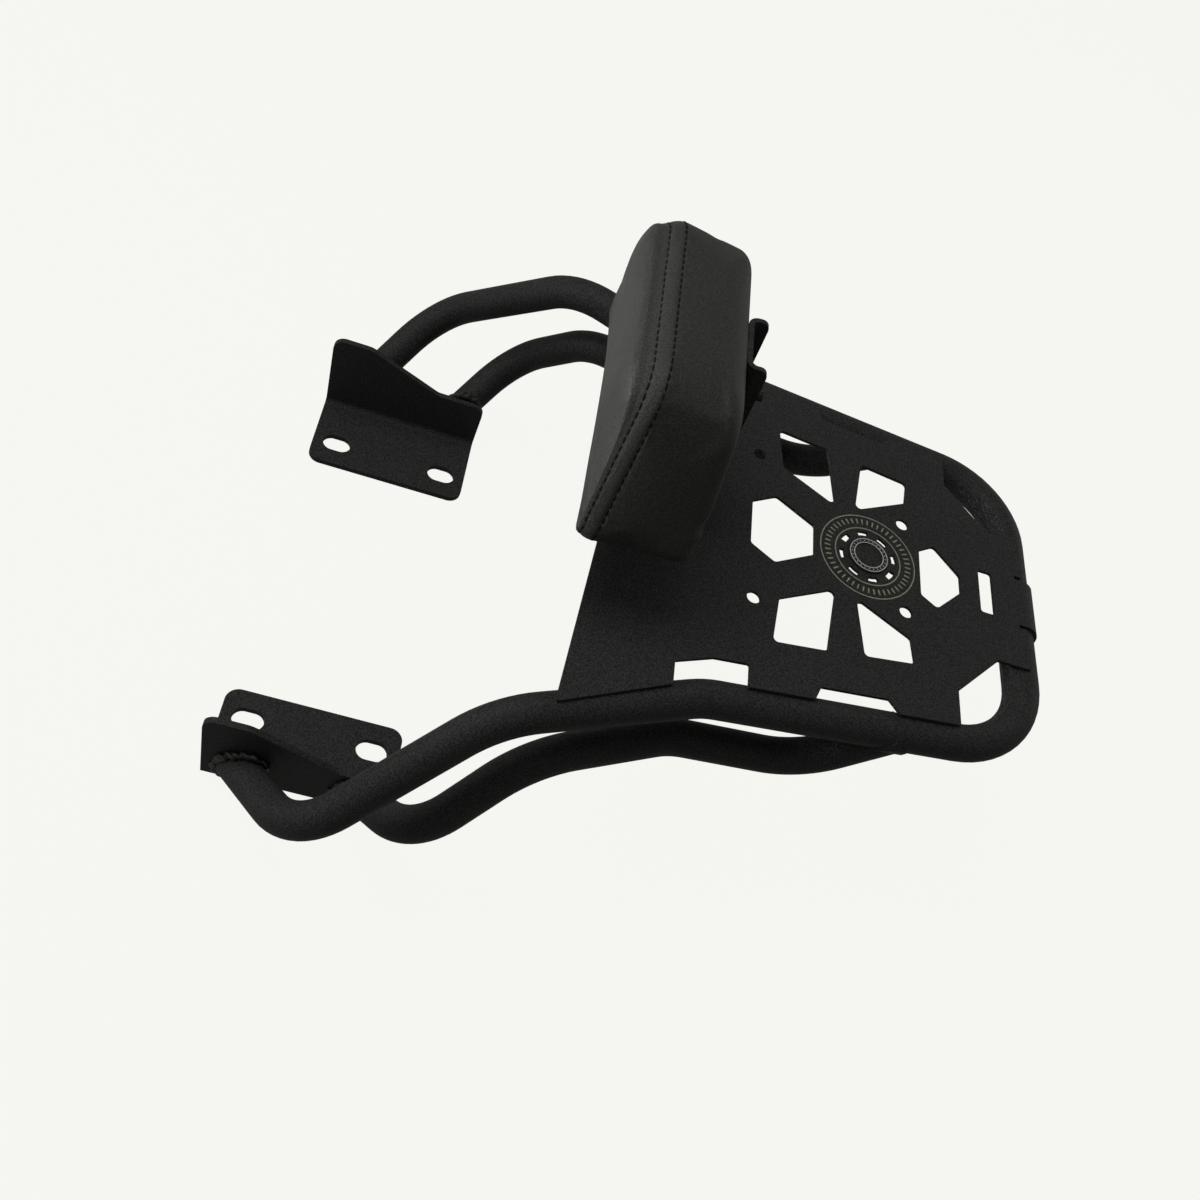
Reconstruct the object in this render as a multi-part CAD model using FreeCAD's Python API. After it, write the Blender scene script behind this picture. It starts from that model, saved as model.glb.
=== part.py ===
import FreeCAD
import Part
import math
import os
from FreeCAD import Vector

# Motorcycle luggage rack with a backrest pad, in millimetres.
# +X is the motorcycle's front, +Y its left and +Z up. The origin is the centre of the four bracket slots,
# on the underside of the bracket leaves. Deck features are placed from a deck datum: the deck's top face,
# on the centre plane, at the rear corners of the front centre window.

# Deck datum in the part's frame
deck_height = 177.0
deck_setback = 256.0

# Tubes
tube_diameter = 22.0
tube_wall = 2.0
bend_radius = 54.0
seat_gap = 0.1

# Deck sheet
deck_thickness = 2.0
deck_front_middle_x = 128.0
deck_front_corner_x = 142.3
deck_corner_round = 1.2
window_corner_round = 3.0
deck_edge_inset = 3.6
deck_front_edge_inset = -1.0

# Upper loop, centre line seen from above: rear cross run, tapered sides, flared front
rear_run_x = -144.4
loop_bend_x = 58.2
loop_bend_y = 125.7
side_taper_deg = 6.24
flare_deg = 22.4
loop_drop_x = 167.8

# Upper loop's left foot: its weld from the bracket's front edge and underside, its knee from the weld
loop_weld_setback = 20.7
loop_weld_height = 21.6
loop_knee_back = 41.0
loop_knee_out = 55.0
loop_knee_rise = 44.7

# Left lower tube's foot: its weld from the bracket's rear edge and underside, its knee from the weld
lower_weld_offset = 20.1
lower_weld_height = 25.1
lower_knee_back = 31.7
lower_knee_out = 37.3
lower_knee_rise = 36.8

# Left lower tube's run under the deck, from the deck datum
lower_shoulder_x = 140.5
lower_shoulder_y = 168.0
lower_shoulder_depth = 49.1
lower_waist_x = 63.6
lower_waist_y = 129.1
lower_waist_depth = 53.1
lower_rise_x = -18.0
lower_rise_y = 119.8
lower_rise_depth = 57.0
lower_end_x = -61.0

# Folded brackets
bracket_thickness = 4.0
bracket_fold_radius = 4.0
bracket_rear_x = 200.0
bracket_front_x = 312.0
bracket_inner_y = 99.2
bracket_outer_y = 160.5
bracket_leaf_round = 9.0
upright_front_height = 65.5
upright_rear_height = 42.0
upright_front_run = 27.0
upright_rear_run = 35.0
upright_front_rake = 3.0
upright_round = 8.0
slot_end_distance = 17.25
slot_inner_distance = 19.3
slot_length = 20.0
slot_width = 14.0

# Deck side notches over the tubes, measured from the deck datum
front_notch_front_x = 80.3
front_notch_rear_x = 37.2
front_notch_depth = 15.2
rear_notch_front_x = -2.8
rear_notch_rear_x = -55.2
rear_notch_depth = 8.8
notch_slant = 7.0
rear_corner_x = -93.4
rear_corner_inner_y = 81.7
rear_flank_x = -122.2
rear_flank_y = 50.9

# Curled tongue and strap slot at the rear of the deck
tongue_half_width = 18.2
tongue_wrap_deg = 95.0
tongue_relief_width = 2.5
tongue_relief_depth = 5.0
strap_slot_front_x = -113.2
strap_slot_rear_x = -122.6
strap_slot_half_width = 16.5
strap_slot_round = 2.0

# Deck windows, left-hand corners, from the deck datum
front_side_window = [(20.7, 52.4), (-15.1, 33.2), (-9.9, 80.2), (23.9, 84.4)]
rear_side_window = [(-33.4, 76.2), (-65.5, 71.6), (-63.6, 53.8), (-28.5, 35.0)]
front_centre_window = [(-1.0, 11.6), (24.2, 26.4), (40.0, 16.8)]
rear_centre_window = [(-99.8, 6.6), (-82.8, 24.6), (-72.1, 17.6)]

# Deck holes for luggage fixings
deck_hole_diameter = 8.4
front_hole_x = 36.7
front_hole_y = 57.2
rear_hole_x = -61.2
rear_hole_y = 34.8

# Round centre ornament of the deck
ornament_x = -36.75
outer_ring_radius = 32.0
inner_ring_radius = 22.2
ring_width = 0.9
ring_depth = 0.4
arc_slot_inner_radius = 16.0
arc_slot_outer_radius = 19.2
arc_slot_count = 8
arc_slot_span_deg = 22.0
badge_radius = 13.3
badge_height = 1.4
badge_rim_width = 4.2
badge_recess_depth = 0.5

# Backrest channel, upright before it leans
channel_foot_x = 89.2
channel_lean_deg = 3.5
channel_width = 40.0
channel_depth = 12.0
channel_height = 128.0
channel_thickness = 3.0
channel_fold_radius = 3.0
channel_corner_round = 4.5

# Backrest pad, measured from the channel's front face
pad_top_height = 146.0
pad_bottom_height = 47.0
pad_top_half_width = 70.0
pad_bottom_half_width = 97.0
pad_bottom_arch = 10.0
pad_top_round = 27.0
pad_bottom_round = 10.0
pad_top_depth = 52.0
pad_wedge = 0.097
pad_strip_width = 8.6
pad_strip_inset = 1.5
pad_crown = 13.0
pad_crown_foot_share = 0.18
pad_rear_fall = 9.0
pad_back_round = 9.0
pad_back_step = 11.0
vinyl_thickness = 1.2
board_thickness = 9.0

# Pad fixings
stud_diameter = 6.0
stud_clearance = 0.3
stud_upper_height = 94.0
stud_upper_tail = 20.0
stud_lower_height = 76.0
stud_lower_tail = 12.5
stud_head_diameter = 16.0
stud_head_height = 2.5
washer_diameter = 16.0
washer_thickness = 1.6
nut_across_flats = 10.0
nut_height = 5.0

# Weld beads
weld_leg = 4.0
saddle_weld_leg = 1.6
deck_weld_leg = 6.5
deck_weld_inset = 6.0

# Values worked out from the sizes above
tube_radius = tube_diameter / 2
bore_radius = tube_radius - tube_wall
tube_axis_z = -deck_thickness - seat_gap - tube_radius
side_slope = math.tan(math.radians(side_taper_deg))
flare_slope = math.tan(math.radians(flare_deg))
leaf_bottom_z = -deck_height
bracket_inner_face_y = bracket_outer_y - bracket_thickness
slot_y = bracket_inner_y + slot_inner_distance
loop_weld = Vector(bracket_front_x - loop_weld_setback, bracket_outer_y, leaf_bottom_z + loop_weld_height)
loop_knee = loop_weld + Vector(-loop_knee_back, loop_knee_out, loop_knee_rise)
lower_weld = Vector(bracket_rear_x + lower_weld_offset, bracket_outer_y, leaf_bottom_z + lower_weld_height)
lower_knee = lower_weld + Vector(-lower_knee_back, lower_knee_out, lower_knee_rise)
lower_shoulder = Vector(lower_shoulder_x, lower_shoulder_y, -lower_shoulder_depth)
lower_waist = Vector(lower_waist_x, lower_waist_y, -lower_waist_depth)
lower_rise = Vector(lower_rise_x, lower_rise_y, -lower_rise_depth)
far = 2 * (bracket_front_x - rear_run_x)


def side_y(x):
    """Half width of the loop's centre line on its tapered side and flare, at a deck x."""
    if x <= loop_bend_x:
        return loop_bend_y + side_slope * (x - loop_bend_x)
    return loop_bend_y + flare_slope * (x - loop_bend_x)


def mirrored(shape):
    """The shape's copy on the other side of the centre plane."""
    return shape.mirror(Vector(0, 0, 0), Vector(0, 1, 0))


def flip(point):
    """The point's copy on the other side of the centre plane."""
    return Vector(point.x, -point.y, point.z)


def box(low, high):
    """Box between two opposite corners."""
    size = high - low
    return Part.makeBox(size.x, size.y, size.z, low)


def rounded_wire(corners):
    """Closed wire through (point, radius) corners, each rounded by a tangent arc."""
    edges = []
    count = len(corners)
    spans = []
    for index, (corner, radius) in enumerate(corners):
        back = (corners[index - 1][0] - corner).normalize()
        onward = (corners[(index + 1) % count][0] - corner).normalize()
        if radius == 0:
            spans.append((corner, corner, corner))
            continue
        half_angle = back.getAngle(onward) / 2
        reach = radius / math.tan(half_angle)
        bisector = (back + onward).normalize()
        middle = corner + bisector * (radius / math.sin(half_angle) - radius)
        spans.append((corner + back * reach, middle, corner + onward * reach))
    for index, (start, middle, end) in enumerate(spans):
        last_end = spans[index - 1][2]
        if last_end.distanceToPoint(start) > 1e-6:
            edges.append(Part.LineSegment(last_end, start).toShape())
        if start.distanceToPoint(end) > 1e-6:
            edges.append(Part.Arc(start, middle, end).toShape())
    return Part.Wire(edges)


def prism(corners, along):
    """Solid made by moving a rounded outline along a vector."""
    return Part.Face(rounded_wire(corners)).extrude(along)


def deck_prism(points, radius, low_z, high_z):
    """Upright prism over an outline of (x, y) points with one corner radius."""
    corners = [(Vector(x, y, low_z), radius) for x, y in points]
    return prism(corners, Vector(0, 0, high_z - low_z))


def ring_face(centre, direction):
    """The tube's annular section at a point of its centre line."""
    rim = Part.Wire(Part.makeCircle(tube_radius, centre, direction))
    bore = Part.Wire(Part.makeCircle(bore_radius, centre, direction))
    return Part.makeFace([rim, bore], "Part::FaceMakerBullseye")


def bent_tube(points):
    """Hollow tube along straight runs joined by bends of the one bend radius."""
    pieces = []
    start = points[0]
    for index in range(1, len(points) - 1):
        corner = points[index]
        into = (corner - points[index - 1]).normalize()
        onward = (points[index + 1] - corner).normalize()
        turn = into.getAngle(onward)
        reach = bend_radius * math.tan(turn / 2)
        bend_start = corner - into * reach
        pieces.append(ring_face(start, into).extrude(bend_start - start))
        axis = into.cross(onward).normalize()
        centre = bend_start + axis.cross(into) * bend_radius
        pieces.append(ring_face(bend_start, into).revolve(centre, axis, math.degrees(turn)))
        start = corner + onward * reach
    last_run = points[-1] - start
    pieces.append(ring_face(start, last_run).extrude(last_run))
    return pieces[0].multiFuse(pieces[1:]).removeSplitter()


def rod(start, end, radius):
    """Solid round bar between two points."""
    return Part.makeCylinder(radius, start.distanceToPoint(end), start, end - start)


def loop_points():
    """Corner points of the upper loop's left half, from the bracket to the rear run."""
    past_weld = loop_weld + (loop_weld - loop_knee).normalize() * tube_diameter
    drop = Vector(loop_drop_x, side_y(loop_drop_x), tube_axis_z)
    bend = Vector(loop_bend_x, loop_bend_y, tube_axis_z)
    rear = Vector(rear_run_x, side_y(rear_run_x), tube_axis_z)
    return [past_weld, loop_knee, drop, bend, rear]


def lower_points():
    """Corner points of the left lower tube, from the bracket to the loop's side run."""
    past_weld = lower_weld + (lower_weld - lower_knee).normalize() * tube_diameter
    end = Vector(lower_end_x, side_y(lower_end_x), tube_axis_z)
    return [past_weld, lower_knee, lower_shoulder, lower_waist, lower_rise, end]


def side_run_rod(radius):
    """Solid bar along the loop's left side run, from its front bend to its rear corner."""
    rear = Vector(rear_run_x, side_y(rear_run_x), tube_axis_z)
    return rod(rear, Vector(loop_bend_x, loop_bend_y, tube_axis_z), radius)


def flare_rod(radius):
    """Solid bar along the loop's left flare, from its bend to where it drops."""
    drop = Vector(loop_drop_x, side_y(loop_drop_x), tube_axis_z)
    return rod(Vector(loop_bend_x, loop_bend_y, tube_axis_z), drop, radius)


def inside_upright():
    """Block that takes away what reaches through the upright's outer face, left side."""
    low = Vector(bracket_rear_x - tube_diameter, 0, -far)
    high = Vector(far, bracket_outer_y, leaf_bottom_z + upright_front_height + tube_diameter)
    return box(low, high)


def upper_loop_tube():
    """The one bent tube of the deck, cut off where it meets the brackets."""
    half = loop_points()
    tube = bent_tube(half + [flip(point) for point in reversed(half)])
    return tube.cut(inside_upright()).cut(mirrored(inside_upright()))


def lower_tube():
    """Left support tube, coped to the loop's side run at its rear end."""
    tube = bent_tube(lower_points())
    return tube.cut(inside_upright()).cut(side_run_rod(tube_radius + seat_gap))


def upright_outline(y):
    """Rounded outline of the left upright above its fold, in the plane of one y."""
    fold_z = leaf_bottom_z + bracket_fold_radius + bracket_thickness
    front_top = leaf_bottom_z + upright_front_height
    rear_top = leaf_bottom_z + upright_rear_height
    raked_x = bracket_front_x + upright_front_rake
    return [
        (Vector(bracket_rear_x, y, fold_z), 0),
        (Vector(bracket_front_x, y, fold_z), 0),
        (Vector(raked_x, y, front_top), upright_round),
        (Vector(raked_x - upright_front_run, y, front_top), 2 * upright_round),
        (Vector(bracket_rear_x + upright_rear_run, y, rear_top), upright_round),
        (Vector(bracket_rear_x, y, rear_top), upright_round),
    ]


def bracket():
    """Left folded bracket: level leaf with two slots, fold, and shaped upright."""
    fold_outer = bracket_fold_radius + bracket_thickness
    fold_y = bracket_outer_y - fold_outer
    fold_z = leaf_bottom_z + fold_outer
    leaf_corners = [
        (Vector(bracket_rear_x, fold_y, leaf_bottom_z), 0),
        (Vector(bracket_front_x, fold_y, leaf_bottom_z), 0),
        (Vector(bracket_front_x, bracket_inner_y, leaf_bottom_z), bracket_leaf_round),
        (Vector(bracket_rear_x, bracket_inner_y, leaf_bottom_z), bracket_leaf_round),
    ]
    leaf = prism(leaf_corners, Vector(0, 0, bracket_thickness))
    upright = prism(upright_outline(bracket_inner_face_y), Vector(0, bracket_thickness, 0))
    fold_section = Part.makePlane(
        bracket_thickness, bracket_front_x - bracket_rear_x,
        Vector(bracket_rear_x, fold_y, leaf_bottom_z), Vector(0, 1, 0), Vector(0, 0, 1))
    fold = fold_section.revolve(Vector(0, fold_y, fold_z), Vector(1, 0, 0), 90)
    folded = leaf.multiFuse([upright, fold]).removeSplitter()
    for x in (bracket_rear_x + slot_end_distance, bracket_front_x - slot_end_distance):
        folded = folded.cut(slot_tool(x))
    return folded


def slot_tool(x):
    """Cutter for one bracket slot, running along X."""
    half_run = (slot_length - slot_width) / 2
    radius = slot_width / 2
    low = leaf_bottom_z - bracket_thickness
    height = 3 * bracket_thickness
    ends = [Part.makeCylinder(radius, height, Vector(x + step, slot_y, low)) for step in (-half_run, half_run)]
    middle = box(Vector(x - half_run, slot_y - radius, low), Vector(x + half_run, slot_y + radius, low + height))
    return middle.multiFuse(ends)


def deck_outline():
    """Corner points of the deck's left half, from the front edge back to the rear edge."""
    def edge(x, inset=0.0):
        return (x, side_y(x) - deck_edge_inset - inset)

    return [
        (deck_front_middle_x, 0.0),
        (deck_front_corner_x, side_y(deck_front_corner_x) - deck_front_edge_inset),
        edge(front_notch_front_x),
        edge(front_notch_front_x, front_notch_depth),
        edge(loop_bend_x, front_notch_depth),
        edge(front_notch_rear_x, front_notch_depth),
        edge(front_notch_rear_x),
        edge(rear_notch_front_x),
        edge(rear_notch_front_x - notch_slant / 2, rear_notch_depth),
        edge(rear_notch_rear_x + notch_slant, rear_notch_depth),
        edge(rear_notch_rear_x),
        edge(rear_corner_x),
        (rear_corner_x, rear_corner_inner_y),
        (rear_flank_x, rear_flank_y),
        (rear_run_x, rear_flank_y),
    ]


def mirrored_ring(half):
    """Closed outline from a half outline, without doubling points on the centre plane."""
    other = [(x, -y) for x, y in reversed(half) if y != 0]
    return half + other


def ornament_cuts():
    """Engraved rings and a ring of arc slots round the badge."""
    cuts = []
    for radius in (outer_ring_radius, inner_ring_radius):
        groove = Part.makeCylinder(radius, ring_depth, Vector(ornament_x, 0, -ring_depth))
        core = Part.makeCylinder(radius - ring_width, ring_depth, Vector(ornament_x, 0, -ring_depth))
        cuts.append(groove.cut(core))
    centre = Vector(ornament_x, 0, -2 * deck_thickness)
    for index in range(arc_slot_count):
        wedge = Part.makeCylinder(
            arc_slot_outer_radius, 3 * deck_thickness, centre, Vector(0, 0, 1), arc_slot_span_deg)
        wedge = wedge.cut(Part.makeCylinder(arc_slot_inner_radius, 3 * deck_thickness, centre))
        wedge.rotate(centre, Vector(0, 0, 1), index * 360 / arc_slot_count)
        cuts.append(wedge)
    return cuts


def rack_plate():
    """Deck sheet with its windows, holes, slot, ornament and curled rear tongue."""
    sheet = deck_prism(mirrored_ring(deck_outline()), deck_corner_round, -deck_thickness, 0)
    below = -2 * deck_thickness
    above = deck_thickness
    cuts = []
    for window in (front_side_window, rear_side_window):
        cutter = deck_prism(window, window_corner_round, below, above)
        cuts += [cutter, mirrored(cutter)]
    for window in (front_centre_window, rear_centre_window):
        cuts.append(deck_prism(mirrored_ring(window), window_corner_round, below, above))
    for x, y in ((front_hole_x, front_hole_y), (rear_hole_x, rear_hole_y)):
        hole = Part.makeCylinder(deck_hole_diameter / 2, above - below, Vector(x, y, below))
        cuts += [hole, mirrored(hole)]
    strap = [
        (strap_slot_front_x, strap_slot_half_width),
        (strap_slot_rear_x, strap_slot_half_width),
    ]
    cuts.append(deck_prism(mirrored_ring(strap), strap_slot_round, below, above))
    relief = box(
        Vector(rear_run_x - deck_thickness, tongue_half_width, below),
        Vector(rear_run_x + tongue_relief_depth, tongue_half_width + tongue_relief_width, above))
    cuts += [relief, mirrored(relief)]
    cuts += ornament_cuts()
    sheet = sheet.cut(Part.makeCompound(cuts))
    root = Part.makePlane(
        deck_thickness, 2 * tongue_half_width,
        Vector(rear_run_x, tongue_half_width, -deck_thickness), Vector(1, 0, 0), Vector(0, 0, 1))
    axis_point = Vector(rear_run_x, 0, tube_axis_z)
    tongue = root.revolve(axis_point, Vector(0, -1, 0), tongue_wrap_deg)
    return sheet.fuse(tongue).removeSplitter()


def centre_badge():
    """Plain round badge with a raised rim, on the deck's ornament."""
    foot = Vector(ornament_x, 0, 0)
    disc = Part.makeCylinder(badge_radius, badge_height, foot)
    rim_edges = [edge for edge in disc.Edges if edge.Vertexes[0].Point.z > badge_height / 2]
    disc = disc.makeChamfer(badge_height / 3, rim_edges[:1])
    recess = Part.makeCylinder(
        badge_radius - badge_rim_width, badge_height, foot + Vector(0, 0, badge_height - badge_recess_depth))
    return disc.cut(recess)


def lean(shape):
    """Place a piece of the backrest: lean it about the channel's foot and set it on the deck."""
    placed = shape.copy()
    placed.rotate(Vector(0, 0, 0), Vector(0, 1, 0), channel_lean_deg)
    placed.translate(Vector(channel_foot_x, 0, 0))
    return placed


def above_deck(shape):
    """The part of a leaning piece that is above the deck's top face."""
    return shape.cut(box(Vector(-far, -far, -far), Vector(far, far, 0)))


def stud_heights():
    """Heights of the pad's two studs along the channel."""
    return (stud_lower_height, stud_upper_height)


def stud_bores(radius):
    """Cutter for the two stud holes, through the channel's web and the board."""
    bores = [
        rod(Vector(-channel_depth, 0, height), Vector(board_thickness, 0, height), radius)
        for height in stud_heights()
    ]
    return Part.makeCompound(bores)


def channel_section(low_z):
    """Outline of the channel's U, web in front and flanges behind."""
    half = channel_width / 2
    inner_half = half - channel_thickness
    outer_fold = channel_fold_radius + channel_thickness
    corners = [
        (Vector(0, half, low_z), outer_fold),
        (Vector(0, -half, low_z), outer_fold),
        (Vector(-channel_depth, -half, low_z), 0),
        (Vector(-channel_depth, -inner_half, low_z), 0),
        (Vector(-channel_thickness, -inner_half, low_z), channel_fold_radius),
        (Vector(-channel_thickness, inner_half, low_z), channel_fold_radius),
        (Vector(-channel_depth, inner_half, low_z), 0),
        (Vector(-channel_depth, half, low_z), 0),
    ]
    return corners


def backrest_channel():
    """Folded U-channel with rounded flange corners and two stud holes."""
    low_z = -channel_depth
    body = prism(channel_section(low_z), Vector(0, 0, channel_height - low_z))
    side_outline = [
        (Vector(channel_thickness, -channel_width, low_z), 0),
        (Vector(channel_thickness, -channel_width, channel_height), 0),
        (Vector(-channel_depth, -channel_width, channel_height), channel_corner_round),
        (Vector(-channel_depth, -channel_width, low_z), 0),
    ]
    body = body.common(prism(side_outline, Vector(0, 2 * channel_width, 0)))
    body = body.cut(stud_bores(stud_diameter / 2 + stud_clearance))
    return above_deck(lean(body))


def channel_weld():
    """Fillet bead round the web and flanges at the channel's foot."""
    outer_fold = channel_fold_radius + channel_thickness
    low_z = -weld_leg
    high_z = weld_leg

    def ring(offset, z):
        half = channel_width / 2 + offset
        corners = [
            (Vector(offset, half, z), outer_fold + offset),
            (Vector(offset, -half, z), outer_fold + offset),
            (Vector(-channel_depth, -half, z), 0),
            (Vector(-channel_depth, half, z), 0),
        ]
        return rounded_wire(corners)

    bead = Part.makeLoft([ring(high_z - low_z, low_z), ring(seat_gap, high_z)], True, True)
    core = Part.Face(ring(0, low_z)).extrude(Vector(0, 0, high_z - low_z))
    return above_deck(lean(bead.cut(core)))


def pad_front_x(height):
    """Depth of the pad's front seam at a height; the pad is thicker towards its foot."""
    return pad_top_depth + pad_wedge * (pad_top_height - height)


def pad_swell(height):
    """Share of the front panel's crown at a height; the foam stands fuller towards the top."""
    rise = (height - pad_bottom_height) / (pad_top_height - pad_bottom_height)
    return pad_crown_foot_share + (1 - pad_crown_foot_share) * rise


def pad_section(inset, place, fall=0.0):
    """Pad outline shrunk by inset, its top lowered by fall, with x from place(height)."""
    top = pad_top_height - inset - fall
    foot = pad_bottom_height + inset
    top_half = pad_top_half_width - inset
    foot_half = pad_bottom_half_width - inset
    corners = [(top_half, top), (foot_half, foot), (-foot_half, foot), (-top_half, top)]
    radii = [pad_top_round, pad_bottom_round, pad_bottom_round, pad_top_round]
    points = [(Vector(place(z), y, z), max(radius - inset, 1.0)) for (y, z), radius in zip(corners, radii)]
    edges = rounded_wire(points).Edges
    foot_edges = [edge for edge in edges if is_foot_edge(edge, foot)]
    start, end = (vertex.Point for vertex in foot_edges[0].Vertexes)
    crest_z = foot + pad_bottom_arch
    crest = Vector(place(crest_z), 0, crest_z)
    arch = Part.Arc(start, crest, end).toShape()
    kept = [edge for edge in edges if not is_foot_edge(edge, foot)]
    return Part.Wire(Part.__sortEdges__(kept + [arch]))


def is_foot_edge(edge, foot):
    """True for the straight lower edge of the pad's outline."""
    level = all(abs(vertex.Point.z - foot) < 1e-6 for vertex in edge.Vertexes)
    return level and edge.Length > pad_bottom_round


def pad_form(skin):
    """The pad's closed form, shrunk all round by the skin but flush with its back."""
    def rear(depth):
        return lambda height: depth

    def front(offset, crown=0.0):
        return lambda height: pad_front_x(height) + offset + crown * pad_swell(height) - skin

    sections = [
        pad_section(skin + pad_back_round, rear(0.0), pad_rear_fall),
        pad_section(skin + 0.3 * pad_back_round, rear(0.35 * pad_back_step), pad_rear_fall),
        pad_section(skin, rear(pad_back_step), 0.8 * pad_rear_fall),
        pad_section(skin, front(-pad_strip_width)),
        pad_section(skin + pad_strip_inset, front(0.0)),
        pad_section(skin + 2.5 * pad_strip_inset, front(0.0, 0.46 * pad_crown)),
        pad_section(skin + 6 * pad_strip_inset, front(0.0, 0.77 * pad_crown)),
        pad_section(skin + 13 * pad_strip_inset, front(0.0, pad_crown)),
    ]
    return Part.makeLoft(sections, True, True)


def pad_slice(near_offset, far_offset):
    """Leaning slab between two planes parallel to the pad's front seam."""
    low = -pad_top_height
    high = 2 * pad_top_height
    outline = [
        (Vector(pad_front_x(low) + near_offset, -far, low), 0),
        (Vector(pad_front_x(low) + far_offset, -far, low), 0),
        (Vector(pad_front_x(high) + far_offset, -far, high), 0),
        (Vector(pad_front_x(high) + near_offset, -far, high), 0),
    ]
    return prism(outline, Vector(0, 2 * far, 0))


def pad_core():
    """What fills the vinyl cover: the board and the foam."""
    return pad_form(vinyl_thickness)


def board_slab():
    """Slab as thick as the back board."""
    return box(Vector(0, -far, -far), Vector(board_thickness, far, far))


def pad_board():
    """Back board with the two stud holes."""
    board = pad_core().common(board_slab())
    return lean(board.cut(stud_bores(stud_diameter / 2 + stud_clearance)))


def stud_head(height):
    """Flat round head of a stud, lying on the board's front face."""
    start = Vector(board_thickness, 0, height)
    return rod(start, start + Vector(stud_head_height, 0, 0), stud_head_diameter / 2)


def pad_foam():
    """Foam block with pockets for the stud heads."""
    foam = pad_core().cut(board_slab())
    for height in stud_heights():
        foam = foam.cut(stud_head(height))
    return lean(foam)


def pad_panels():
    """The three sewn vinyl panels: boxing, edge strip and front panel."""
    cover = pad_form(0.0).cut(pad_core())
    slices = {
        "pad_boxing": pad_slice(-far, -pad_strip_width),
        "pad_edge_strip": pad_slice(-pad_strip_width, 0.0),
        "pad_front_panel": pad_slice(0.0, far),
    }
    return {name: lean(cover.common(part)) for name, part in slices.items()}


def pad_studs():
    """Two studs: a flat head inside the pad and a threaded tail through the channel."""
    studs = []
    for height, tail in zip(stud_heights(), (stud_lower_tail, stud_upper_tail)):
        shank = rod(Vector(-tail, 0, height), Vector(board_thickness, 0, height), stud_diameter / 2)
        studs.append(lean(shank.fuse(stud_head(height)).removeSplitter()))
    return Part.makeCompound(studs)


def pad_washers():
    """Washers under the nuts, on the back of the channel's web."""
    washers = []
    for height in stud_heights():
        front = Vector(-channel_thickness, 0, height)
        back = front - Vector(washer_thickness, 0, 0)
        plain = rod(back, front, washer_diameter / 2)
        washers.append(lean(plain.cut(rod(back, front, stud_diameter / 2 + stud_clearance))))
    return Part.makeCompound(washers)


def pad_nuts():
    """Hexagon nuts on the studs' tails."""
    nuts = []
    corner_radius = nut_across_flats / math.sqrt(3)
    front_x = -channel_thickness - washer_thickness
    for height in stud_heights():
        corners = []
        for index in range(6):
            angle = math.radians(60 * index)
            point = Vector(front_x, corner_radius * math.cos(angle), height + corner_radius * math.sin(angle))
            corners.append((point, 0))
        block = prism(corners, Vector(-nut_height, 0, 0))
        shank = rod(Vector(-channel_depth, 0, height), Vector(0, 0, height), stud_diameter / 2)
        nuts.append(lean(block.cut(shank)))
    return Part.makeCompound(nuts)


def plane_ring(weld, direction, offset, radius):
    """Ellipse in which a bar of a radius meets a plane beside the upright."""
    steps = offset / direction.y
    centre = weld + direction * steps
    across = Vector(direction.x, 0, direction.z).normalize()
    beside = across.cross(Vector(0, 1, 0))
    major = centre + across * (radius / abs(direction.y))
    minor = centre + beside * radius
    return Part.Wire(Part.Ellipse(major, minor, centre).toShape())


def upright_bead(weld, knee):
    """Fillet bead round a tube where it meets the upright's outer face."""
    direction = (knee - weld).normalize()
    wide = plane_ring(weld, direction, 0.0, tube_radius + weld_leg)
    narrow = plane_ring(weld, direction, weld_leg, tube_radius + seat_gap)
    bead = Part.makeLoft([wide, narrow], True, True)
    start = weld - direction * tube_diameter
    return bead.cut(rod(start, knee, tube_radius))


def upright_edges():
    """Room that an upright's outer face gives a bead, so that none hangs over its edges."""
    return prism(upright_outline(bracket_outer_y), Vector(0, far, 0))


def upper_tube_weld():
    """Bead of the upper loop on the left bracket."""
    return upright_bead(loop_weld, loop_knee).common(upright_edges())


def lower_tube_front_weld():
    """Bead of the left lower tube on the left bracket."""
    return upright_bead(lower_weld, lower_knee).common(upright_edges())


def lower_tube_rear_weld():
    """Saddle bead where the left lower tube's rear end meets the loop."""
    end = lower_points()[-1]
    near = side_run_rod(tube_radius + saddle_weld_leg)
    bead = near.common(rod(lower_rise, end, tube_radius + saddle_weld_leg))
    return bead.cut(side_run_rod(tube_radius)).cut(rod(lower_rise, end, tube_radius))


def deck_weld(front_x, rear_x):
    """Bead under one edge tab of the deck, on the inner flank of the left tube."""
    high = -deck_thickness
    low = high - deck_weld_leg
    front = front_x - deck_weld_inset
    rear = rear_x + deck_weld_inset
    inner = deck_edge_inset + deck_weld_leg + tube_radius / 4
    corners = [
        (front, side_y(front) - deck_edge_inset),
        (rear, side_y(rear) - deck_edge_inset),
        (rear, side_y(rear) - inner),
        (front, side_y(front) - inner),
    ]
    strip = deck_prism(corners, 0, low, high)
    flank = side_run_rod(tube_radius + deck_weld_leg / 2).fuse(flare_rod(tube_radius + deck_weld_leg / 2))
    strip = strip.common(flank)
    return strip.cut(side_run_rod(tube_radius)).cut(flare_rod(tube_radius))


def both_sides(shapes):
    """Left-hand shapes and their mirror copies as one group."""
    return Part.makeCompound(shapes + [mirrored(shape) for shape in shapes])


def write(name, shape):
    """Set a node in the part's frame and write it."""
    placed = shape.copy()
    placed.translate(Vector(-deck_setback, 0, deck_height))
    placed.exportStep(os.path.join("parts", name + ".step"))


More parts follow.
